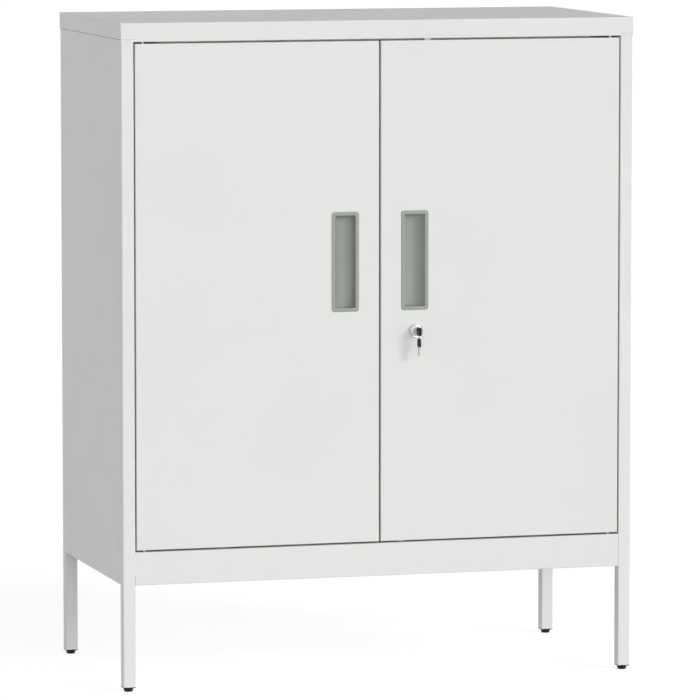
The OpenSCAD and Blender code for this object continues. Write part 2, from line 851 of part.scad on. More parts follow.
module lock_barrel() {
    dome_h = rosette_out - 1.5;
    color(chrome) on_floor() translate([lock_x, 0, lock_z]) difference() {
        union() {
            rod_y_way(rosette_d, -1.5, -0.02);
            translate([0, -1.5, 0]) rotate([90, 0, 0])
                cylinder(d1 = rosette_d, d2 = plug_d + 3, h = dome_h, $fn = round_fn);
            rod_y_way(barrel_d, -1, barrel_y1);
        }
        rod_y_way(plug_d + 2 * fit, -rosette_out - 1, barrel_y1 + 1);
    }
}

module lock_nut() {
    color(zinc) on_floor() translate([lock_x, sheet + 0.1 + nut_t, lock_z]) rotate([90, 0, 0])
        difference() {
            cylinder(d = nut_af / cos(30), h = nut_t, $fn = 6);
            translate([0, 0, -1]) cylinder(d = barrel_d + 0.1, h = nut_t + 2, $fn = round_fn);
        }
}

module lock_plug() {
    color(chrome) on_floor() translate([lock_x, 0, lock_z]) difference() {
        union() {
            rod_y_way(plug_d, plug_face - rosette_out, barrel_y1 + 0.1);
            rod_y_way(hub_d, barrel_y1, cam_y0 - 0.1);
            box([-drive_w / 2, cam_y0 - 0.2, -drive_w / 2], [drive_w / 2, cam_y0 + cam_t, drive_w / 2]);
        }
        box([-blade_t / 2 - 0.15, -rosette_out - 1, -blade_h / 2 - 0.2],
            [blade_t / 2 + 0.15, blade_in - rosette_out + 0.6, blade_h / 2 + 0.2]);
        rod_y_way(screw_d - 0.4, cam_y0 - 3, cam_y0 + cam_t + 1);
    }
}

// The cam's two lower pins drive the rods, and the pin above drives the side bolt.
module lock_cam() {
    color(zinc) on_floor() translate([lock_x, 0, lock_z]) {
        difference() {
            rod_y_way(2 * cam_r + 7, cam_y0, cam_y0 + cam_t);
            box([-drive_w / 2 - 0.1, cam_y0 - 1, -drive_w / 2 - 0.1],
                [drive_w / 2 + 0.1, cam_y0 + cam_t + 1, drive_w / 2 + 0.1]);
        }
        for (s = [-1, 1]) translate([s * pin_offset, 0, -s * pin_offset])
            rod_y_way(cam_pin_d, rod_y0 - 0.2, cam_y0 + 0.1);
        translate([pin_offset, 0, pin_offset]) rod_y_way(cam_pin_d, bolt_y0 - 0.2, cam_y0 + 0.1);
    }
}

module cam_screw() {
    head_y = cam_y0 + cam_t + 0.1;
    color(zinc) on_floor() translate([lock_x, 0, lock_z]) difference() {
        union() {
            rod_y_way(9, head_y, head_y + 2.2);
            rod_y_way(screw_d - 0.6, cam_y0 - 2.5, head_y + 1);
        }
        box([-4, head_y + 1.4, -0.5], [4, head_y + 3, 0.5]);
    }
}

// The rods are drawn with the lock open: the cam's pins are then 45 degrees from level.
module upper_rod() {
    slot_z = lock_z - pin_offset;
    x0 = upper_rod_x - lock_x - rod_w / 2;
    color(zinc) on_floor() translate([lock_x, 0, 0]) difference() {
        union() {
            box([x0, rod_y0, slot_z - ear_half_h], [x0 + rod_w, rod_y0 + rod_t, header_z - rod_tip]);
            box([ear_x0, rod_y0, slot_z - ear_half_h], [x0 + 1, rod_y0 + rod_t, slot_z + ear_half_h]);
        }
        box([slot_x0, rod_y0 - 1, slot_z - slot_half_h],
            [slot_x1, rod_y0 + rod_t + 1, slot_z + slot_half_h]);
    }
}

module lower_rod() {
    slot_z = lock_z + pin_offset;
    x0 = lower_rod_x - lock_x - rod_w / 2;
    color(zinc) on_floor() translate([lock_x, 0, 0]) difference() {
        union() {
            box([x0, rod_y0, apron_h + rod_tip], [x0 + rod_w, rod_y0 + rod_t, slot_z + ear_half_h]);
            box([x0, rod_y0, slot_z - ear_half_h], [-ear_x0, rod_y0 + rod_t, slot_z + ear_half_h]);
        }
        box([-slot_x1, rod_y0 - 1, slot_z - slot_half_h],
            [-slot_x0, rod_y0 + rod_t + 1, slot_z + slot_half_h]);
    }
}

module side_bolt() {
    z0 = side_bolt_z - rod_w / 2;
    tip = door_x0 + sheet + rod_tip - lock_x;
    color(zinc) on_floor() translate([lock_x, 0, lock_z]) difference() {
        union() {
            box([tip, bolt_y0, z0], [pin_offset + ear_half_h, bolt_y0 + bolt_t, z0 + rod_w]);
            box([pin_offset - ear_half_h, bolt_y0, ear_x0],
                [pin_offset + ear_half_h, bolt_y0 + bolt_t, z0 + 1]);
        }
        box([pin_offset - slot_half_h, bolt_y0 - 1, slot_x0],
            [pin_offset + slot_half_h, bolt_y0 + bolt_t + 1, slot_x1]);
    }
}

// ---- keys ----

// an outline in y and z, of thickness t about x = 0
module key_plate(p, t) {
    side_section(p, -t / 2, t / 2);
}

// cuts along a key's edge, from the origin towards +Y
module key_cuts() {
    for (k = [0 : 4]) translate([0, k * bit_pitch, 0])
        rotate([45, 0, 0]) cube([3, bit_depth, bit_depth], center = true);
}

module key_blade() {
    h = blade_h / 2;
    tip = blade_in - rosette_out;
    color(chrome) on_floor() translate([lock_x, 0, lock_z]) difference() {
        key_plate([[-bow_y0 - 5, -h], [tip - 2, -h], [tip, -h + 2], [tip, h - 2], [tip - 2, h],
            [-bow_y0 - 5, h]], blade_t);
        translate([0, -3, -h]) key_cuts();
    }
}

module key_bow() {
    h = bow_h / 2;
    b = blade_h / 2 + 0.1;
    color(black) on_floor() translate([lock_x, 0, lock_z]) difference() {
        key_plate(rounded(corners(-key_out, -h, -bow_y0, h), [5, 3, 3, 5]), key_t + 1.2);
        box([-blade_t / 2 - 0.05, -bow_y0 - 5.1, -b], [blade_t / 2 + 0.05, 1 - bow_y0, b]);
        translate([0, -bow_hole_y, 0]) rod_x_way(2 * bow_hole_r, -4, 4);
    }
}

module key_ring() {
    color(chrome) on_floor() translate([lock_x, -bow_hole_y, ring_z]) rotate([90, 0, 0])
        rotate_extrude($fn = 64) translate([ring_r, 0]) circle(r = ring_wire_r, $fn = 24);
}

module spare_key_head() {
    top = spare_z + spare_hole_drop;
    color(black) on_floor() translate([lock_x, -bow_hole_y, 0]) difference() {
        key_plate(rounded(corners(-spare_w / 2, top - spare_h, spare_w / 2, top), [3, 3, 5, 5]), key_t + 0.6);
        translate([0, 0, spare_z]) rod_x_way(2 * spare_hole_r, -4, 4);
        box([-blade_t / 2 - 0.05, -blade_h / 2 - 0.1, top - spare_h - 1],
            [blade_t / 2 + 0.05, blade_h / 2 + 0.1, top - spare_h + 4.1]);
    }
}

module spare_key_blade() {
    top = spare_z + spare_hole_drop - spare_h;
    low = top - spare_blade;
    h = blade_h / 2;
    color(chrome) on_floor() translate([lock_x, -bow_hole_y, 0]) difference() {
        key_plate([[-h, top + 4], [-h, low + 2], [-h + 2, low], [h - 2, low], [h, low + 2], [h, top + 4]],
            blade_t);
        translate([0, -h, low + 3]) rotate([90, 0, 0]) key_cuts();
    }
}

top_cap();
left_side_panel();
right_side_panel();
back_panel();
bottom_panel();
left_front_shelf_rail();
right_front_shelf_rail();
left_rear_shelf_rail();
right_rear_shelf_rail();
upper_shelf();
lower_shelf();
shelf_clips();
frame_screws();
front_left_leg();
front_right_leg();
rear_left_leg();
rear_right_leg();
leg_brackets();
leg_bolts();
leg_end_inserts();
hinge_bushes();
front_left_foot();
front_right_foot();
rear_left_foot();
rear_right_foot();
left_door_skin();
left_door_stiffener();
left_handle();
left_hinge_pins();
left_door_bumpers();
right_door_skin();
right_door_stiffener();
right_handle();
right_hinge_pins();
right_door_bumpers();
rod_guides();
lock_barrel();
lock_nut();
lock_plug();
lock_cam();
cam_screw();
upper_rod();
lower_rod();
side_bolt();
key_blade();
key_bow();
key_ring();
spare_key_blade();
spare_key_head();
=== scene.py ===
"""Looks of the steel tool cabinet: sheet metal, moulded pulls, lock, keys, feet and light."""

import json
import math

import bmesh
import bpy
from mathutils import Matrix, Vector


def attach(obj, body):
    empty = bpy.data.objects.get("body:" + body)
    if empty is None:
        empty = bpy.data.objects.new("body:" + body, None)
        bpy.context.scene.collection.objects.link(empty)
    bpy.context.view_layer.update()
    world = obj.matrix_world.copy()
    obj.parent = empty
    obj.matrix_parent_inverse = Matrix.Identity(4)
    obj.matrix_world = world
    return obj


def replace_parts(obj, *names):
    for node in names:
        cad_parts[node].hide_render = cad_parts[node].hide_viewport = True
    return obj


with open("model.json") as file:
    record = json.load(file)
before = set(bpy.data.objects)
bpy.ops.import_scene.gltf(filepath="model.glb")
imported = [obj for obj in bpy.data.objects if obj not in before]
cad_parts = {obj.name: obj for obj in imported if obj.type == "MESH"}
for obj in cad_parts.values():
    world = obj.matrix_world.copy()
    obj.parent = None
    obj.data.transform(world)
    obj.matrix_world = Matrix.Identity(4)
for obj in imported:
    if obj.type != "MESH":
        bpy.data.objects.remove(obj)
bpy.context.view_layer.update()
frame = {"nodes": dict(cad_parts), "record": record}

MM = 0.001
FRONT_Y = -0.1865  # front face of the doors
BODY_Z = 0.161  # lower edge of the sheet body
WELD = 2e-6  # points of the CAD that are closer than this, in metres, are one
NODE_BODY = {n: b for b, ns in frame["record"]["behaviour"]["bodies"].items() for n in ns}


def spot(x, y, z):
    """A point of the body frame, in mm, as metres in the part's frame."""
    return Vector((x * MM, FRONT_Y + y * MM, BODY_Z + z * MM))


# ---------------------------------------------------------------- materials


class Nodes:
    """A node tree, with the few kinds of nodes that the materials and the world share."""

    def __init__(self, tree):
        self.tree = tree

    def node(self, kind, **settings):
        n = self.tree.nodes.new(kind)
        for k, v in settings.items():
            setattr(n, k, v)
        return n

    def link(self, a, b):
        self.tree.links.new(a, b)

    def maths(self, kind, a, b):
        n = self.node("ShaderNodeMath", operation=kind)
        for socket, v in zip(n.inputs, (a, b)):
            if isinstance(v, (int, float)):
                socket.default_value = v
            else:
                self.link(v, socket)
        return n.outputs[0]

    def looked_at(self):
        """1 on what the camera sees, also by reflection or through glass, and 0 on other rays."""
        path = self.node("ShaderNodeLightPath").outputs
        seen = self.maths("MAXIMUM", path["Is Camera Ray"], path["Is Glossy Ray"])
        return self.maths("MAXIMUM", seen, path["Is Transmission Ray"])

    def choose(self, factor, a, b):
        """The shader a where factor is 0, and b where it is 1."""
        n = self.node("ShaderNodeMixShader")
        for socket, v in zip(n.inputs, (factor, a, b)):
            self.link(v, socket)
        return n.outputs[0]


class Shader(Nodes):
    """A Principled material and the textures that its finish is built from."""

    def __init__(self, name):
        self.mat = bpy.data.materials.new(name)
        self.mat.use_nodes = True
        super().__init__(self.mat.node_tree)
        self.bsdf = self.tree.nodes["Principled BSDF"]
        self.where = self.node("ShaderNodeTexCoord").outputs["Object"]

    def noise(self, scale, detail=2.0, rough=0.5, stretch=None):
        n = self.node("ShaderNodeTexNoise")
        n.inputs["Scale"].default_value = scale
        n.inputs["Detail"].default_value = detail
        n.inputs["Roughness"].default_value = rough
        source = self.where
        if stretch:
            m = self.node("ShaderNodeMapping")
            m.inputs["Scale"].default_value = stretch
            self.link(self.where, m.inputs["Vector"])
            source = m.outputs["Vector"]
        self.link(source, n.inputs["Vector"])
        return n.outputs["Fac"]

    def spread(self, value, low, high, start=0.3, end=0.7):
        """Maps value from start..end to low..high."""
        n = self.node("ShaderNodeMapRange")
        n.inputs["From Min"].default_value = start
        n.inputs["From Max"].default_value = end
        n.inputs["To Min"].default_value = low
        n.inputs["To Max"].default_value = high
        self.link(value, n.inputs["Value"])
        return n.outputs["Result"]

    def mix(self, factor, a, b):
        n = self.node("ShaderNodeMix", data_type="RGBA")
        self.link(factor, n.inputs[0])
        for socket, v in ((n.inputs[6], a), (n.inputs[7], b)):
            if isinstance(v, tuple):
                socket.default_value = (*v, 1.0)
            else:
                self.link(v, socket)
        return n.outputs[2]

    def worn(self):
        """1 on the bevels that refined() makes, and 0 elsewhere."""
        return self.node("ShaderNodeAttribute", attribute_name="edge").outputs["Fac"]

    def bump(self, *layers):
        """layers are (height, distance in metres, strength)."""
        normal = None
        for height, distance, strength in layers:
            n = self.node("ShaderNodeBump")
            n.inputs["Distance"].default_value = distance
            n.inputs["Strength"].default_value = strength
            self.link(height, n.inputs["Height"])
            if normal:
                self.link(normal, n.inputs["Normal"])
            normal = n.outputs["Normal"]
        self.link(normal, self.bsdf.inputs["Normal"])

    def set(self, **values):
        for k, v in values.items():
            socket = self.bsdf.inputs[k.replace("_", " ")]
            if isinstance(v, (int, float, tuple)):
                socket.default_value = (*v, 1.0) if isinstance(v, tuple) else v
            else:
                self.link(v, socket)


def enamel_material():
    """Powder coat: soft gloss, fine orange peel, and a thinner coat along edges."""
    s = Shader("enamel_coat")
    base = (0.765, 0.765, 0.750)
    cooler = (0.745, 0.748, 0.736)
    tone = s.mix(s.spread(s.noise(5.0, 3.0), 0.0, 1.0), base, cooler)
    fleck = s.mix(s.spread(s.noise(2600.0, 1.0), 0.0, 0.35, 0.45, 0.75), tone, (0.70, 0.70, 0.69))
    wear = s.maths("MULTIPLY", s.worn(), s.spread(s.noise(160.0, 4.0, 0.7), 0.0, 0.45, 0.45, 0.75))
    s.set(Base_Color=s.mix(wear, fleck, (0.60, 0.60, 0.59)))
    rough = s.spread(s.noise(28.0, 3.0), 0.40, 0.50)
    s.set(Roughness=s.maths("SUBTRACT", rough, s.maths("MULTIPLY", s.worn(), 0.06)))
    s.bump((s.noise(480.0, 2.0, 0.45), 0.00006, 0.35), (s.noise(2400.0, 1.0), 0.000012, 0.25))
    s.set(Specular_IOR_Level=0.42)
    return s.mat


def zinc_material():
    """Bright zinc plate, mottled, with lighter edges."""
    s = Shader("zinc_plate")
    spangle = s.spread(s.noise(90.0, 4.0, 0.6), 0.0, 1.0)
    tone = s.mix(spangle, (0.56, 0.58, 0.61), (0.66, 0.66, 0.64))
    s.set(Base_Color=s.mix(s.worn(), tone, (0.72, 0.73, 0.74)))
    s.set(Metallic=1.0)
    s.set(Roughness=s.spread(s.noise(240.0, 4.0, 0.65), 0.26, 0.44))
    s.bump((s.noise(900.0, 3.0, 0.6), 0.00003, 0.3))
    return s.mat


def chrome_material(name, rough):
    """Plating over brass; rough is the pair of roughness limits."""
    s = Shader(name)
    tone = s.mix(s.spread(s.noise(220.0, 3.0), 0.0, 1.0), (0.70, 0.71, 0.73), (0.78, 0.79, 0.80))
    s.set(Base_Color=s.mix(s.worn(), tone, (0.86, 0.86, 0.87)))
    s.set(Metallic=1.0)
    s.set(Roughness=s.spread(s.noise(700.0, 3.0, 0.6), *rough))
    s.bump((s.noise(1500.0, 2.0), 0.00001, 0.2))
    return s.mat


def nickel_material():
    """Nickel plate with fine lines along the blade, as a milled key has."""
    s = Shader("key_nickel_plate")
    lines = s.noise(700.0, 3.0, 0.6, stretch=(1.0, 1.0, 12.0))
    tone = s.mix(s.spread(s.noise(300.0, 3.0), 0.0, 1.0), (0.58, 0.57, 0.55), (0.70, 0.69, 0.67))
    s.set(Base_Color=s.mix(s.worn(), tone, (0.80, 0.79, 0.77)))
    s.set(Metallic=1.0)
    s.set(Roughness=s.spread(lines, 0.22, 0.42))
    s.bump((lines, 0.00002, 0.3))
    return s.mat


def plastic_material(name, base, other, edge, rough, grain, depth, shine=0.5):
    """Moulded plastic: two tones, spark-eroded grain, and edges rubbed a little smoother."""
    s = Shader(name)
    s.set(Specular_IOR_Level=shine)
    tone = s.mix(s.spread(s.noise(35.0, 3.0), 0.0, 1.0), base, other)
    s.set(Base_Color=s.mix(s.maths("MULTIPLY", s.worn(), 0.5), tone, edge))
    value = s.spread(s.noise(grain * 0.4, 3.0), *rough)
    s.set(Roughness=s.maths("SUBTRACT", value, s.maths("MULTIPLY", s.worn(), 0.05)))
    s.bump((s.noise(grain, 3.0, 0.6), depth, 0.35))
    return s


def shade_material():
    """Painted shade: a dark grey on the faces of the seams' grooves, in place of the shadow under
    the cap's flanges.
    """
    s = Shader("painted_seam_shade")
    shade_mottle = s.spread(s.noise(160.0, 3.0), 0.0, 1.0)
    # the dark grey tones are painted shade, mottled at random
    tone = s.mix(shade_mottle, (0.22, 0.22, 0.215), (0.28, 0.28, 0.27))
    s.set(Base_Color=s.mix(s.worn(), tone, (0.34, 0.34, 0.33)))
    s.set(Roughness=s.spread(s.noise(900.0, 3.0, 0.6), 0.60, 0.85))
    s.bump((s.noise(1200.0, 3.0), 0.00002, 0.3))
    return s.mat


def finishes():
    """The materials, by the names of the slots and of the scene's own finishes."""
    return {
        "enamel": enamel_material(),
        "zinc_plated_steel": zinc_material(),
        "lock_chrome": chrome_material("lock_chrome_plate", (0.10, 0.20)),
        "plug_satin": chrome_material("lock_plug_plate", (0.34, 0.46)),
        # painted shade for the faces of the seams' grooves
        "painted_seam_shade": shade_material(),
        "key_nickel": nickel_material(),
        "black_plastic": plastic_material(
            "black_moulding", (0.007, 0.007, 0.008), (0.011, 0.011, 0.012), (0.024, 0.024, 0.026),
            (0.34, 0.50), 1400.0, 0.00004, shine=0.2).mat,
        "grey_green_plastic": plastic_material(
            "grey_green_moulding", (0.322, 0.347, 0.315), (0.309, 0.333, 0.302), (0.35, 0.37, 0.34),
            (0.40, 0.52), 1100.0, 0.00003).mat,
        "nylon": plastic_material(
            "nylon_moulding", (0.80, 0.78, 0.72), (0.75, 0.73, 0.67), (0.84, 0.82, 0.77),
            (0.38, 0.50), 900.0, 0.00003).mat,
        "grey_rubber": plastic_material(
            "grey_rubber_pad", (0.095, 0.095, 0.100), (0.120, 0.120, 0.124), (0.15, 0.15, 0.15),
            (0.62, 0.80), 700.0, 0.00006).mat,
    }


FINISH = finishes()
SLOT = {r["node"]: r["material_slot"] for r in frame["record"]["subparts"]}

for node_name, node_object in frame["nodes"].items():
    node_object.data.materials.clear()
    node_object.data.materials.append(FINISH[SLOT[node_name]])


# ---------------------------------------------------------------- mesh helpers


def mesh_from(bm, name):
    """Ends bm as a mesh whose faces look outward."""
    mesh = bpy.data.meshes.new(name)
    bmesh.ops.recalc_face_normals(bm, faces=bm.faces)
    bm.to_mesh(mesh)
    bm.free()
    return mesh


def in_scene(name, data):
    """A new object of data, linked to the scene."""
    obj = bpy.data.objects.new(name, data)
    bpy.context.scene.collection.objects.link(obj)
    return obj


def piece_from(bm, name, slot, body, smooth=35.0):
    """Makes an object from bm, smooth-shaded up to an angle, that rides on a body."""
    mesh = mesh_from(bm, name)
    obj = in_scene(name, mesh)
    mesh.materials.append(FINISH[slot])
    mesh.shade_smooth()
    mesh.set_sharp_from_angle(angle=math.radians(smooth))
    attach(obj, body)
    return obj


def edge_layer(bm):
    """The face layer that marks the bevels for Shader.worn()."""
    return bm.faces.layers.float.get("edge") or bm.faces.layers.float.new("edge")


def merge_flats(bm, angle=0.4):
    """Joins flat neighbours into simple polygons. A flat ring stays cut into pieces."""
    limit = math.radians(angle)
    left = set(bm.faces)
    patches = []
    for first in bm.faces:  # in the mesh's order, so that each run gives the same polygons
        if first not in left:
            continue
        left.remove(first)
        patch, inside, corners = [first], {first}, set(first.verts)
        for face in patch:
            for e in face.edges:
                if len(e.link_faces) != 2:
                    continue
                other = e.link_faces[0] if e.link_faces[1] is face else e.link_faces[1]
                if other not in left or other.normal.angle(first.normal, 4.0) > limit:
                    continue
                shared = [d for d in other.edges if any(f in inside for f in d.link_faces)]
                new = [v for v in other.verts if v not in corners]
                if len(shared) == 1 and len(new) != len(other.verts) - 2:
                    continue
                left.remove(other)
                patch.append(other)
                inside.add(other)
                corners.update(new)
        if len(patch) > 1:
            patches.append(patch)
    for patch in patches:
        bmesh.ops.dissolve_faces(bm, faces=patch, use_verts=False)
    straight = []
    for v in bm.verts:
        if len(v.link_edges) == 2:
            a, b = (e.other_vert(v).co - v.co for e in v.link_edges)
            if a.length > 0 and b.length > 0 and a.angle(-b) < limit:
                straight.append(v)
    bmesh.ops.dissolve_verts(bm, verts=straight)


def refined(node, width, segments=2, flat_angle=40.0):
    """A copy of a CAD node whose sharp edges have fine bevels and whose bends are smooth."""
    bm = bmesh.new()
    bm.from_mesh(frame["nodes"][node].data)
    bmesh.ops.remove_doubles(bm, verts=bm.verts, dist=WELD)
    merge_flats(bm)
    layer = edge_layer(bm)
    limit = math.radians(flat_angle)
    sharp = [e for e in bm.edges if len(e.link_faces) == 2 and e.calc_face_angle(0.0) > limit]
    made = bmesh.ops.bevel(
        bm, geom=sharp, offset=width * MM, offset_type="OFFSET", segments=segments, profile=0.5,
        affect="EDGES", clamp_overlap=True, loop_slide=True, miter_outer="ARC", miter_inner="SHARP")
    for f in made["faces"]:
        f[layer] = 1.0
    obj = piece_from(bm, node + "_fine", SLOT[node], NODE_BODY[node], smooth=50.0)
    modifier = obj.modifiers.new("normals", "WEIGHTED_NORMAL")
    modifier.keep_sharp = True
    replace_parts(obj, node)
    return obj


def around(radius, angle, height):
    """A point at an angle round the Z axis."""
    return Vector((radius * math.cos(angle), radius * math.sin(angle), height))


def lathe(bm, profile, place, sides):
    """Turns profile, points (radius, height) in mm, round the Z axis of the matrix place."""
    rings = []
    for r, h in profile:
        spokes = [2 * math.pi * k / sides for k in range(sides if r else 1)]
        rings.append([bm.verts.new(place @ around(r * MM, a, h * MM)) for a in spokes])
    for a, b in zip(rings, rings[1:]):
        for k in range(sides):
            q = (k + 1) % sides
            if len(a) == 1 and len(b) == 1:
                break
            if len(a) == 1:
                bm.faces.new((a[0], b[k], b[q]))
            elif len(b) == 1:
                bm.faces.new((a[k], b[0], a[q]))
            else:
                bm.faces.new((a[k], b[k], b[q], a[q]))


def rounded_ring(half_w, half_h, radius, steps=6):
    """Points (x, z) of a rounded rectangle, anticlockwise."""
    points = []
    for cx, cz, start in ((1, -1, -90), (1, 1, 0), (-1, 1, 90), (-1, -1, 180)):
        for k in range(steps + 1):
            a = math.radians(start + 90 * k / steps)
            points.append((
                cx * (half_w - radius) + radius * math.cos(a),
                cz * (half_h - radius) + radius * math.sin(a)))
    return points


def loft(bm, rings, closed=True, caps=(False, False)):
    """Joins rings of vertices, each with the same number of points."""
    for a, b in zip(rings, rings[1:]):
        n = len(a)
        for k in range(n if closed else n - 1):
            q = (k + 1) % n
            bm.faces.new((a[k], a[q], b[q], b[k]))
    for ring, cap in zip((rings[0], rings[-1]), caps):
        if cap:
            bm.faces.new(ring)


# ---------------------------------------------------------------- sheet metal

for node_name, bevel_width in (
    ("top_cap", 0.25), ("left_side_panel", 0.2), ("right_side_panel", 0.2), ("bottom_panel", 0.2),
    ("back_panel", 0.2), ("left_door_skin", 0.2), ("right_door_skin", 0.2),
    ("left_front_shelf_rail", 0.15), ("right_front_shelf_rail", 0.15),
    ("left_rear_shelf_rail", 0.15), ("right_rear_shelf_rail", 0.15),
    ("upper_shelf", 0.15), ("lower_shelf", 0.15),
    ("left_door_stiffener", 0.15), ("right_door_stiffener", 0.15),
    ("front_left_leg", 0.25), ("front_right_leg", 0.25),
    ("rear_left_leg", 0.25), ("rear_right_leg", 0.25),
    ("leg_brackets", 0.3), ("shelf_clips", 0.25), ("rod_guides", 0.15), ("lock_cam", 0.2),
    ("upper_rod", 0.25), ("lower_rod", 0.25), ("side_bolt", 0.25), ("leg_end_inserts", 0.3),
):
    refined(node_name, bevel_width)


# ---------------------------------------------------------------- pulls

PULL_X = 54.5
PULL_Z = 478.8
PULL_HALF_W = 21.5
PULL_HALF_H = 75.5
PULL_CORNER = 4.5
MOUTH_HALF_W = 15.7
MOUTH_HALF_H = 69.7
MOUTH_RADIUS = 0.6
MOUTH_STEPS = 6
CUP_DEPTH = 14.0
CUP_CORNER = 6.0
CUP_FLAT_X = -6.0
CUP_WALL = 1.3
CUP_ENDS = ((0.0, 1.0), (0.3, 0.3), (1.0, 0.0))  # how far in from an end, and how far drawn in
SLOPE_R = ((MOUTH_HALF_W - CUP_FLAT_X) ** 2 + CUP_DEPTH ** 2) / (2 * CUP_DEPTH)
SLOPE_STEPS = 24
CORNER_STEPS = 12
# (inset, y) across the rim: a sloping outer edge, a flat top and a soft inner edge
RIM = (
    (0.0, 0.75), (0.0, -0.15), (0.15, -0.32), (0.9, -0.72), (1.4, -0.93), (1.9, -1.0),
    (4.9, -1.0), (5.3, -0.93), (5.6, -0.68), (5.8, -0.3), (5.8, 0.6),
)
FRONT_LIP = -0.1  # y where the trough meets the rim
BACK_LIP = 0.5  # y where the back of the cup meets the rim


def trough(grow, lip):
    """Section (x, y) of a pull's trough, grown by grow, from the slope's rim to the grip wall's."""
    reach = MOUTH_HALF_W + grow
    radius = SLOPE_R + grow
    rim = math.acos(min(1.0, (reach - CUP_FLAT_X) / radius))
    points = [(reach, lip)]
    for k in range(SLOPE_STEPS + 1):
        a = rim + (math.pi / 2 - rim) * k / SLOPE_STEPS
        points.append((
            CUP_FLAT_X + radius * math.cos(a), CUP_DEPTH - SLOPE_R + radius * math.sin(a)))
    corner = CUP_CORNER + grow
    for k in range(1, CORNER_STEPS + 1):
        a = math.pi / 2 * (1 + k / CORNER_STEPS)
        points.append((
            CUP_CORNER - MOUTH_HALF_W + corner * math.cos(a),
            CUP_DEPTH - CUP_CORNER + corner * math.sin(a)))
    points.append((-reach, lip))
    return points


def pull(side, body):
    """side is 1 on the right door and -1 on the left, where the section is mirrored."""
    bm = bmesh.new()

    def at(x, y, z):
        return bm.verts.new(spot(side * (PULL_X + x), y, PULL_Z + z))

    def skin(upper, lip):
        """One side of the cup, from upper, points (z, grow) of its upper end, mirrored below."""
        levels = [(-z, grow) for z, grow in upper] + upper[::-1]
        sections = [[at(x, y, z) for x, y in trough(grow, lip)] for z, grow in levels]
        loft(bm, sections, closed=False, caps=(True, True))

    rings = []
    for inset, y in RIM:
        corner = max(PULL_CORNER - inset, MOUTH_RADIUS)
        ring = rounded_ring(PULL_HALF_W - inset, PULL_HALF_H - inset, corner)
        rings.append([at(x, y, z) for x, z in ring])
    loft(bm, rings + rings[:1])

    # trough: one long slope and a steep grip wall, with small fillets at its ends
    fillet = []
    for k in range(MOUTH_STEPS + 1):
        a = math.pi / 2 * k / MOUTH_STEPS
        z = MOUTH_HALF_H - MOUTH_RADIUS * (1 - math.cos(a))
        fillet.append((z, -MOUTH_RADIUS * (1 - math.sin(a))))
    skin(fillet, FRONT_LIP)

    # back of the cup, seen when the door is open
    skin([(MOUTH_HALF_H + CUP_WALL - step, CUP_WALL - drawn) for step, drawn in CUP_ENDS], BACK_LIP)
    name = "right_handle" if side > 0 else "left_handle"
    obj = piece_from(bm, name + "_moulding", "grey_green_plastic", body, smooth=45.0)
    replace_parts(obj, name)


pull(-1, "left_door")
pull(1, "right_door")


# ---------------------------------------------------------------- turned and small parts


def axis_at(point, direction):
    """Matrix that puts the lathe's Z axis at point, a Vector in metres, along direction."""
    turn = Vector(direction).to_track_quat("Z", "X").to_matrix().to_4x4()
    return Matrix.Translation(point) @ turn


def subtract(obj, cutter, keep=35.0):
    """Cuts obj by cutter, which is then removed. Edges past the angle keep stay sharp."""
    modifier = obj.modifiers.new("cut", "BOOLEAN")
    modifier.operation = "DIFFERENCE"
    modifier.solver = "EXACT"
    modifier.material_mode = "TRANSFER"
    modifier.object = cutter
    others = [m for m in obj.modifiers if m.name != modifier.name]
    for m in others:
        m.show_viewport = False
    seen = obj.evaluated_get(bpy.context.evaluated_depsgraph_get())
    mesh = bpy.data.meshes.new_from_object(seen)
    obj.modifiers.remove(modifier)
    for m in others:
        m.show_viewport = True
    old, obj.data = obj.data, mesh
    bpy.data.meshes.remove(old)
    bpy.data.objects.remove(cutter)
    mesh.set_sharp_from_angle(angle=math.radians(keep))


def loose(bm, finish=None):
    """An object that no body carries, for subtract(), with the finish that its cut gets."""
    mesh = mesh_from(bm, "cutter")
    if finish:
        mesh.materials.append(FINISH[finish])
    return in_scene("cutter", mesh)


def block(bm, lo, hi):
    """A box between two corners, in metres."""
    verts = [bm.verts.new((x, y, z))
             for x in (lo[0], hi[0]) for y in (lo[1], hi[1]) for z in (lo[2], hi[2])]
    for q in ((0, 1, 3, 2), (4, 6, 7, 5), (0, 4, 5, 1), (2, 3, 7, 6), (0, 2, 6, 4), (1, 5, 7, 3)):
        bm.faces.new([verts[i] for i in q])


def prism(bm, sides, across, z0, z1, chamfer):
    """An upright bar with flat sides, across its corners in mm, with chamfered ends."""
    draw_in = chamfer * 1.6
    rings = []
    for inset, z in ((draw_in, z0), (0, z0 + chamfer), (0, z1 - chamfer), (draw_in, z1)):
        r = (across / 2 - inset) * MM
        rings.append([
            bm.verts.new(around(r, 2 * math.pi * k / sides, z * MM)) for k in range(sides)])
    loft(bm, rings, caps=(True, True))


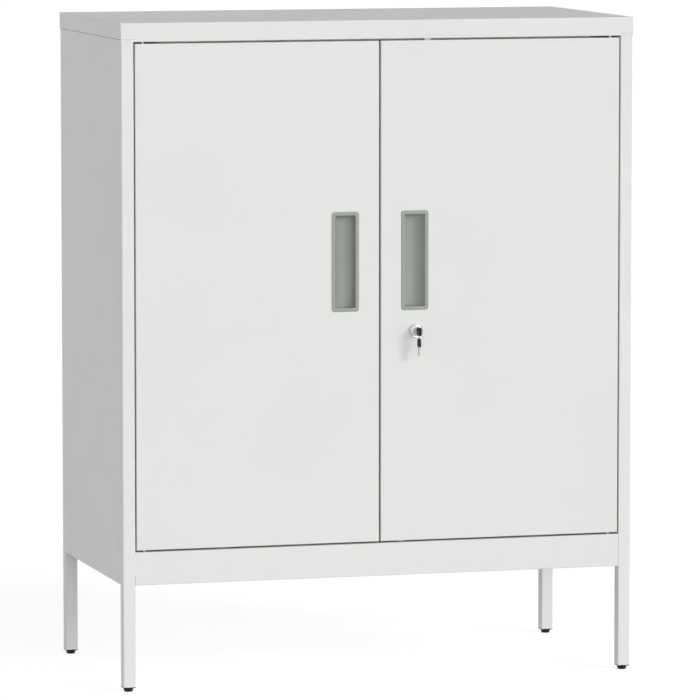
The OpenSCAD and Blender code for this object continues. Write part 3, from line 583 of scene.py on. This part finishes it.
# shadow lines at the cap's flanges, along the sides and across the stiles: shallow grooves whose
# cut faces take a painted shade
BODY_HALF_W = 400.0
BODY_D = 400.0
CAP_LIP = 1.0
STILE_X = 381.0
SEAM_Z = 817.5
SEAM_CLEAR = 0.6  # how far a cutter stands out of the sheet
SIDE_SEAM = (0.4, 0.9)  # depth and height
CAP_SEAM = (0.3, 0.32)
cap_out = CAP_LIP + SEAM_CLEAR
for s, side in ((-1, "left"), (1, "right")):
    for name, x0, x1, y0, y1, height in (
            (side + "_side_panel_fine", BODY_HALF_W - SIDE_SEAM[0], BODY_HALF_W + SEAM_CLEAR,
             -SEAM_CLEAR, BODY_D + cap_out, SIDE_SEAM[1]),
            ("top_cap_fine", STILE_X, BODY_HALF_W + cap_out,
             -cap_out, CAP_SEAM[0] - CAP_LIP, CAP_SEAM[1])):
        cutter = bmesh.new()
        x0, x1 = sorted((s * x0, s * x1))
        block(cutter, spot(x0, y0, SEAM_Z - height), spot(x1, y1, SEAM_Z))
        # the groove's faces get the painted seam shade, a dark grey that stands in for the shadow
        subtract(bpy.data.objects[name], loose(cutter, "painted_seam_shade"), keep=50.0)


# lock: a rolled outer bead, a dished face and a raised collar round the plug
LOCK_X = 56.0
LOCK_Z = 372.0
ROSETTE = (
    (6.08, -12.5), (6.08, 5.55), (6.25, 5.85), (6.6, 5.97), (6.95, 5.9), (7.3, 5.5), (7.6, 4.8),
    (7.85, 4.1), (8.1, 3.8), (8.5, 3.78), (9.3, 3.9), (9.6, 4.02), (9.85, 4.18), (10.05, 4.32),
    (10.2, 4.38), (10.36, 4.3), (10.47, 4.1), (10.5, 3.8), (10.5, 0.3), (10.4, 0.02), (8.0, 0.02),
    (8.0, -12.3), (7.8, -12.5), (6.08, -12.5),
)
bm = bmesh.new()
lathe(bm, ROSETTE, axis_at(spot(LOCK_X, 0, LOCK_Z), (0, -1, 0)), sides=96)
bmesh.ops.remove_doubles(bm, verts=bm.verts, dist=WELD)
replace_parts(piece_from(bm, "lock_rosette", "lock_chrome", "right_door", smooth=50), "lock_barrel")
refined("lock_plug", 0.18).data.materials[0] = FINISH["plug_satin"]
refined("lock_nut", 0.35)
refined("cam_screw", 0.25)
refined("hinge_bushes", 0.2)
refined("left_hinge_pins", 0.35)
refined("right_hinge_pins", 0.35)


# ---------------------------------------------------------------- keys

BOW_OUT = -28.0
BOW_IN = -10.0
BOW_HALF_H = 6.5
BOW_T = 3.4
BOW_HOLE_R = 2.4
HOLE_Y = -19.0
RING_R = 6.6
SPARE_HALF_W = 6.5
SPARE_H = 13.4
SPARE_T = 2.8
SPARE_HOLE_R = 1.8
SPARE_HINGE_Z = LOCK_Z - 2 * RING_R
SPARE_TOP = SPARE_HINGE_Z + 3.2
LEAST_CORNER = 0.15
PANEL_CORNERS = (1.2,) * 4
# how a grip's edge is rounded, and its hole: (inset or growth, drop from the face)
GRIP_EDGE = ((0.0, 0.75), (0.08, 0.42), (0.28, 0.15), (0.6, 0.03), (0.85, 0.0))
GRIP_BORE = ((0.0, 0.55), (0.12, 0.25), (0.4, 0.0))
# (inset, share of the depth) down a sunk panel's edge
PANEL_EDGE = ((0, 0), (0.12, 0.25), (0.3, 0.85), (0.55, 1))


def rounded_box(lo, hi, radii, inset=0.0, steps=7):
    """Points (y, z) of a box whose corners have their own radii, anticlockwise from lo."""
    points = []
    spots = ((lo[0], lo[1], 180), (hi[0], lo[1], 270), (hi[0], hi[1], 0), (lo[0], hi[1], 90))
    for (y, z, start), r in zip(spots, radii):
        inward = (1 if y == lo[0] else -1, 1 if z == lo[1] else -1)
        cy, cz = y + inward[0] * r, z + inward[1] * r
        q = max(r - inset, LEAST_CORNER)
        more = max(inset - r + LEAST_CORNER, 0)
        for k in range(steps + 1):
            a = math.radians(start + 90 * k / steps)
            points.append((
                cy + q * math.cos(a) + inward[0] * more,
                cz + q * math.sin(a) + inward[1] * more))
    return points


def key_grip(name, node, body, lo, hi, radii, hole, panels, thick, deep):
    """A moulded grip with a soft edge, a hole at hole, (y, z, radius), and panels sunk by deep."""
    bm = bmesh.new()

    def ring(points, x):
        return [bm.verts.new(spot(LOCK_X + x, y, z)) for y, z in points]

    def circle(r, x, count=32):
        turns = [2 * math.pi * k / count for k in range(count)]
        return ring([(hole[0] + r * math.cos(a), hole[1] + r * math.sin(a)) for a in turns], x)

    half = thick / 2
    sides = []
    for s in (-1, 1):
        outer = [ring(rounded_box(lo, hi, radii, i), s * (half - drop)) for i, drop in GRIP_EDGE]
        inner = [circle(hole[2] + i, s * (half - drop)) for i, drop in GRIP_BORE]
        loft(bm, outer)
        loft(bm, inner)
        loops = [outer[-1], inner[-1]]
        for a, b in panels:
            sunk = [ring(rounded_box(a, b, PANEL_CORNERS, i), s * (half - deep * share))
                    for i, share in PANEL_EDGE]
            loft(bm, sunk)
            bm.faces.new(sunk[-1])
            loops.append(sunk[0])
        edges = []
        for loop in loops:
            for k, v in enumerate(loop):
                e = bm.edges.get((v, loop[(k + 1) % len(loop)]))
                edges.append(e or bm.edges.new((v, loop[(k + 1) % len(loop)])))
        bmesh.ops.triangle_fill(bm, edges=edges, use_beauty=True, use_dissolve=False)
        sides.append((outer[0], inner[0]))
    loft(bm, [sides[0][0], sides[1][0]])
    loft(bm, [sides[0][1], sides[1][1]])
    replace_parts(piece_from(bm, name, "black_plastic", body, smooth=38), node)


def panel(y0, y1, z0, z1):
    """The corners (y, z) of a grip's sunk panel."""
    return (y0, z0), (y1, z1)


BOW_PANEL_HALF_H = BOW_HALF_H - 1.9
key_grip(
    "key_bow_grip", "key_bow", "key", (BOW_OUT, LOCK_Z - BOW_HALF_H), (BOW_IN, LOCK_Z + BOW_HALF_H),
    (5, 3, 3, 5), (HOLE_Y, LOCK_Z, BOW_HOLE_R),
    (panel(BOW_OUT + 1.7, HOLE_Y - 3.4, LOCK_Z - BOW_PANEL_HALF_H, LOCK_Z + BOW_PANEL_HALF_H),
     panel(HOLE_Y + 3.4, BOW_IN - 1.4, LOCK_Z - BOW_PANEL_HALF_H, LOCK_Z + BOW_PANEL_HALF_H)),
    BOW_T, 0.45)
key_grip(
    "spare_key_grip", "spare_key_head", "spare_key",
    (HOLE_Y - SPARE_HALF_W, SPARE_TOP - SPARE_H), (HOLE_Y + SPARE_HALF_W, SPARE_TOP),
    (3, 3, 5, 5), (HOLE_Y, SPARE_HINGE_Z, SPARE_HOLE_R),
    (panel(HOLE_Y - 5.0, HOLE_Y + 5.0, SPARE_TOP - 12.0, SPARE_TOP - 6.3),),
    SPARE_T, 0.3)


def split_ring():
    """Two touching turns of thin wire, with rounded ends, in the place of the ring."""
    bm = bmesh.new()
    wire, pitch, turns, count, round_n = 0.28, 0.58, 1.96, 150, 14
    rings = []
    for k in range(count + 1):
        t = k / count
        a = math.pi / 2 + 2 * math.pi * turns * (t - 0.5)
        centre = Vector((math.cos(a), 0, math.sin(a))) * RING_R
        centre.y = pitch * (t - 0.5) * turns
        near = min(t, 1 - t) * count
        thin = wire * (0.55 if near < 1 else 0.9 if near < 2 else 1.0)
        out = Vector((math.cos(a), 0, math.sin(a)))
        ring = []
        for q in range(round_n):
            b = 2 * math.pi * q / round_n
            v = centre + out * (thin * math.cos(b)) + Vector((0, thin * math.sin(b), 0))
            ring.append(bm.verts.new(spot(LOCK_X + v.x, HOLE_Y + v.y, LOCK_Z - RING_R + v.z)))
        rings.append(ring)
    loft(bm, rings, caps=(True, True))
    obj = piece_from(bm, "split_key_ring", SLOT["key_ring"], NODE_BODY["key_ring"])
    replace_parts(obj, "key_ring")


split_ring()


GROOVE_X = (0.6, 2.0)  # from the groove's floor to clear of the blade


def key_blank(node, groove_lo, groove_hi):
    """A refined blade with a milled groove along both faces."""
    obj = refined(node, 0.18)
    obj.modifiers.clear()
    for s in (-1, 1):
        bm = bmesh.new()
        x0, x1 = sorted(LOCK_X + s * x for x in GROOVE_X)
        block(bm, spot(x0, *groove_lo), spot(x1, *groove_hi))
        subtract(obj, loose(bm, SLOT[node]))


key_blank("key_blade", (-9.0, LOCK_Z + 0.6), (9.6, LOCK_Z + 1.9))
key_blank("spare_key_blade", (HOLE_Y + 0.6, SPARE_TOP - 27.0), (HOLE_Y + 1.9, SPARE_TOP - 13.6))


# ---------------------------------------------------------------- feet, screws, bolts and bumpers


def thread(start, end, pitch, turn):
    """Profile of a thread: turn, points (radius, height), repeated by pitch from start to end."""
    points, z = [], start
    while (z - end) * pitch < 0:
        points += [(r, z + h) for r, h in turn]
        z += pitch
    return points


LEG_X = 390.5
LEG_Y = {"front": 9.5, "rear": 390.5}
FOOT_LOW = -161.0
FOOT_TOP = -155.3
STUD_H = 20.0
# (radius, height) of one turn of the stud's thread
STUD_TURN = ((3.62, 0), (3.98, 0.45), (3.98, 0.6), (3.62, 1.05))
# (radius, height) of the tapered foot up to the stud
FOOT = (
    (0, FOOT_LOW), (5.4, FOOT_LOW), (5.9, FOOT_LOW + 0.1), (6.2, FOOT_LOW + 0.45),
    (6.35, FOOT_LOW + 0.9), (7.6, FOOT_TOP - 1.3), (7.78, FOOT_TOP - 0.65), (7.7, FOOT_TOP - 0.2),
    (7.4, FOOT_TOP), (4.6, FOOT_TOP), (4.15, FOOT_TOP + 0.1),
)
STUD_TOP = FOOT_TOP + STUD_H
for side, x in (("left", -LEG_X), ("right", LEG_X)):
    for end, y in LEG_Y.items():
        profile = [*FOOT, *thread(FOOT_TOP + 0.4, STUD_TOP, 1.25, STUD_TURN),
                   (3.5, STUD_TOP + 0.7), (0, STUD_TOP + 1.0)]
        bm = bmesh.new()
        lathe(bm, profile, Matrix.Translation(spot(x, y, 0)), sides=48)
        node = f"{end}_{side}_foot"
        obj = piece_from(bm, node + "_turned", SLOT[node], NODE_BODY[node], smooth=32)
        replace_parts(obj, node)


def islands(node):
    """The separate solids of a CAD node, as lists of points in metres."""
    bm = bmesh.new()
    bm.from_mesh(frame["nodes"][node].data)
    bmesh.ops.remove_doubles(bm, verts=bm.verts, dist=WELD)
    left, found = set(bm.verts), []
    for first in bm.verts:
        if first not in left:
            continue
        left.remove(first)
        group = [first]
        for v in group:
            for e in v.link_edges:
                w = e.other_vert(v)
                if w in left:
                    left.remove(w)
                    group.append(w)
        found.append([v.co.copy() for v in group])
    bm.free()
    return found


def middle(points):
    """The middle and the size of the points' box."""
    lo = Vector([min(p[i] for p in points) for i in range(3)])
    hi = Vector([max(p[i] for p in points) for i in range(3)])
    return (lo + hi) / 2, hi - lo


CROSS_HALF_W = 0.45
CROSS_DEPTH = 1.2
SOCKET_ACROSS = 4.6
SOCKET_DEPTH = 1.9


def cut_mesh(bm, name, *cutters):
    """A mesh from bm, less the solids in cutters."""
    obj = in_scene(name, mesh_from(bm, name))
    for cutter in cutters:
        subtract(obj, loose(cutter))
    mesh = obj.data
    bpy.data.objects.remove(obj)
    return mesh


def pan_head(head_d, head_h, shank_d, shank_l):
    """A screw with its head's underside at z = 0 and a cross recess, as a mesh."""
    r, q = head_d / 2, shank_d / 2
    profile = [
        (0, head_h), (r * 0.45, head_h * 0.98), (r * 0.75, head_h * 0.86),
        (r * 0.93, head_h * 0.55), (r, head_h * 0.22), (r * 0.98, 0.05), (r * 0.95, 0), (q, 0),
        *thread(-0.4, 1 - shank_l, -0.7, ((q * 0.84, 0), (q, -0.3), (q * 0.84, -0.65))),
        (q * 0.7, -shank_l), (0, -shank_l)]
    bm = bmesh.new()
    lathe(bm, profile, Matrix(), sides=32)
    slots = []
    for half_x, half_y in ((r * 0.55, CROSS_HALF_W), (CROSS_HALF_W, r * 0.55)):
        slot = bmesh.new()
        half = Vector((half_x, half_y, (CROSS_DEPTH + 1) / 2)) * MM
        centre = Vector((0, 0, head_h + (1 - CROSS_DEPTH) / 2)) * MM
        block(slot, centre - half, centre + half)
        slots.append(slot)
    return cut_mesh(bm, "pan_head", *slots)


def button_head(head_d, head_h, shank_d, z1):
    """A domed bolt head that sits at z = 0 with its shank up to z1, with a hexagon socket."""
    r, q = head_d / 2, shank_d / 2
    profile = [
        (0, -head_h), (r * 0.5, -head_h * 0.97), (r * 0.8, -head_h * 0.74),
        (r * 0.96, -head_h * 0.36), (r, -head_h * 0.08), (r * 0.97, 0), (q, 0),
        *thread(0.5, z1 - 1, 1.0, ((q * 0.86, 0), (q, 0.35), (q * 0.86, 0.8))),
        (q * 0.75, z1), (0, z1)]
    bm = bmesh.new()
    lathe(bm, profile, Matrix(), sides=36)
    socket = bmesh.new()
    prism(socket, 6, SOCKET_ACROSS, -head_h - 1, SOCKET_DEPTH - head_h, 0.01)
    return cut_mesh(bm, "button_head", socket)


def many(name, node, copies):
    """One piece of copies, pairs (matrix, mesh), in the node's stead."""
    bm = bmesh.new()
    for place, mesh in copies:
        start = len(bm.verts)
        bm.from_mesh(mesh)
        bm.verts.ensure_lookup_table()
        bmesh.ops.transform(bm, matrix=place, verts=bm.verts[start:])
    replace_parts(piece_from(bm, name, SLOT[node], NODE_BODY[node]), node)


# the back panel's screws point to the rear, the header's out to the sides
SCREW_HEAD_D = 8
SCREW_HEAD_H = 2.2
SCREW_D = 4
rear_screw = pan_head(SCREW_HEAD_D, SCREW_HEAD_H, SCREW_D, shank_l=1.8)
header_screw = pan_head(SCREW_HEAD_D, SCREW_HEAD_H, SCREW_D, shank_l=4.1)
copies = []
for points in islands("frame_screws"):
    centre, size = middle(points)
    if size.y < size.x:
        seat = Vector((centre.x, centre.y - size.y / 2 + SCREW_HEAD_H * MM, centre.z))
        copies.append((axis_at(seat, (0, -1, 0)), rear_screw))
    else:
        s = 1 if centre.x > 0 else -1
        seat = Vector((centre.x - s * (size.x / 2 - SCREW_HEAD_H * MM), centre.y, centre.z))
        copies.append((axis_at(seat, (-s, 0, 0)), header_screw))
many("frame_screws_cross", "frame_screws", copies)

BOLT_GAP = 0.1  # between the bolt's head and the lip above it
NUT_ACROSS = 11.5
NUT_LOW = 4.5
NUT_TOP = 9.5
bm = bmesh.new()
prism(bm, 6, NUT_ACROSS, NUT_LOW, NUT_TOP, 0.7)
nut = mesh_from(bm, "nut")
bolt = button_head(10, 3.5, 6, 12.4)
copies = []
for points in islands("leg_bolts"):
    centre, _ = middle(points)
    place = Matrix.Translation((centre.x, centre.y, BODY_Z - BOLT_GAP * MM))
    copies += [(place, bolt), (place, nut)]
many("leg_bolts_socket", "leg_bolts", copies)

# (radius, height) of a bumper's dome
DOME = ((0, 1.0), (1.6, 0.98), (2.8, 0.86), (3.5, 0.62), (3.88, 0.3), (4.0, 0.0), (0, 0))
for side in ("left", "right"):
    node = side + "_door_bumpers"
    bm = bmesh.new()
    for points in islands(node):
        centre, size = middle(points)
        seat = Vector((centre.x, centre.y - size.y / 2, centre.z))
        lathe(bm, DOME, axis_at(seat, (0, 1, 0)), sides=32)
    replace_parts(piece_from(bm, side + "_bumper_domes", SLOT[node], NODE_BODY[node]), node)


# ---------------------------------------------------------------- camera

FOCAL_PX = 5594.2
PICTURE_PX = 700
SENSOR_MM = 36.0
CAMERA_AT = (-2.3522, -8.2517, 1.3695)
CAMERA_YAW = math.radians(15.95)
CAMERA_PITCH = math.radians(5.875)

camera_data = bpy.data.cameras.new("camera")
camera_data.sensor_width = SENSOR_MM
camera_data.lens = FOCAL_PX / PICTURE_PX * SENSOR_MM
camera_data.clip_start = 0.1
camera_data.clip_end = 400.0
camera = in_scene("camera", camera_data)
camera.location = CAMERA_AT
camera.rotation_euler = (math.pi / 2 - CAMERA_PITCH, 0.0, -CAMERA_YAW)
bpy.context.scene.camera = camera


# ---------------------------------------------------------------- floor and light


FLOOR_HALF = 120.0
FLOOR_PLAIN = 0.80  # how much of the light the floor throws back
FLOOR_SEEN = 0.62  # the same where the camera looks, beside FLOOR_GLOW
FLOOR_GLOW = 0.715
SKY = 0.272
HORIZON_GLOW = 1.87
HORIZON_FADE = 3.0


def floor_material():
    """White floor: where the camera looks, part of its brightness is its own."""
    mat = bpy.data.materials.new("studio_floor")
    mat.use_nodes = True
    mat.node_tree.nodes.clear()
    s = Nodes(mat.node_tree)

    def matt(level):
        n = s.node("ShaderNodeBsdfDiffuse")
        n.inputs["Color"].default_value = (level, level, level, 1.0)
        return n.outputs[0]

    glow = s.node("ShaderNodeEmission")
    glow.inputs["Strength"].default_value = FLOOR_GLOW
    white = s.node("ShaderNodeAddShader")
    s.link(matt(FLOOR_SEEN), white.inputs[0])
    s.link(glow.outputs[0], white.inputs[1])
    out = s.node("ShaderNodeOutputMaterial")
    shown = s.choose(s.looked_at(), matt(FLOOR_PLAIN), white.outputs[0])
    s.link(shown, out.inputs["Surface"])
    return mat


floor_mesh = bpy.data.meshes.new("floor")
floor_mesh.from_pydata(
    [(-FLOOR_HALF, -FLOOR_HALF, 0), (FLOOR_HALF, -FLOOR_HALF, 0),
     (FLOOR_HALF, FLOOR_HALF, 0), (-FLOOR_HALF, FLOOR_HALF, 0)], [], [(0, 1, 2, 3)])
floor_mesh.materials.append(floor_material())
in_scene("floor", floor_mesh)


def studio_world():
    """An even soft sky, a little brighter at the horizon, and white where the camera sees it."""
    world = bpy.data.worlds.new("studio")
    world.use_nodes = True
    world.node_tree.nodes.clear()
    s = Nodes(world.node_tree)
    split = s.node("ShaderNodeSeparateXYZ")
    s.link(s.node("ShaderNodeTexCoord").outputs["Generated"], split.inputs[0])
    low = s.maths("SUBTRACT", 1.0, s.maths("ABSOLUTE", split.outputs["Z"], 0.0))
    horizon = s.maths("MULTIPLY", s.maths("POWER", low, HORIZON_FADE), HORIZON_GLOW)
    light = s.node("ShaderNodeBackground")
    s.link(s.maths("ADD", horizon, SKY), light.inputs["Strength"])
    white = s.node("ShaderNodeBackground")
    out = s.node("ShaderNodeOutputWorld")
    shown = s.choose(s.looked_at(), light.outputs[0], white.outputs[0])
    s.link(shown, out.inputs["Surface"])
    bpy.context.scene.world = world


studio_world()


def sun(name, toward, share, spread):
    """A distant soft lamp that gives a surface facing it share times the plain level of light."""
    data = bpy.data.lights.new(name, "SUN")
    data.energy = math.pi * share
    data.angle = math.radians(spread)
    lamp = in_scene(name, data)
    lamp.rotation_euler = Vector(toward).to_track_quat("Z", "Y").to_euler()


sun("key_light", (0.62, -0.72, 0.40), 0.33, 22.0)
sun("front_light", (0.10, -0.99, 0.06), 0.358, 40.0)

bpy.context.scene.view_settings.view_transform = "Standard"
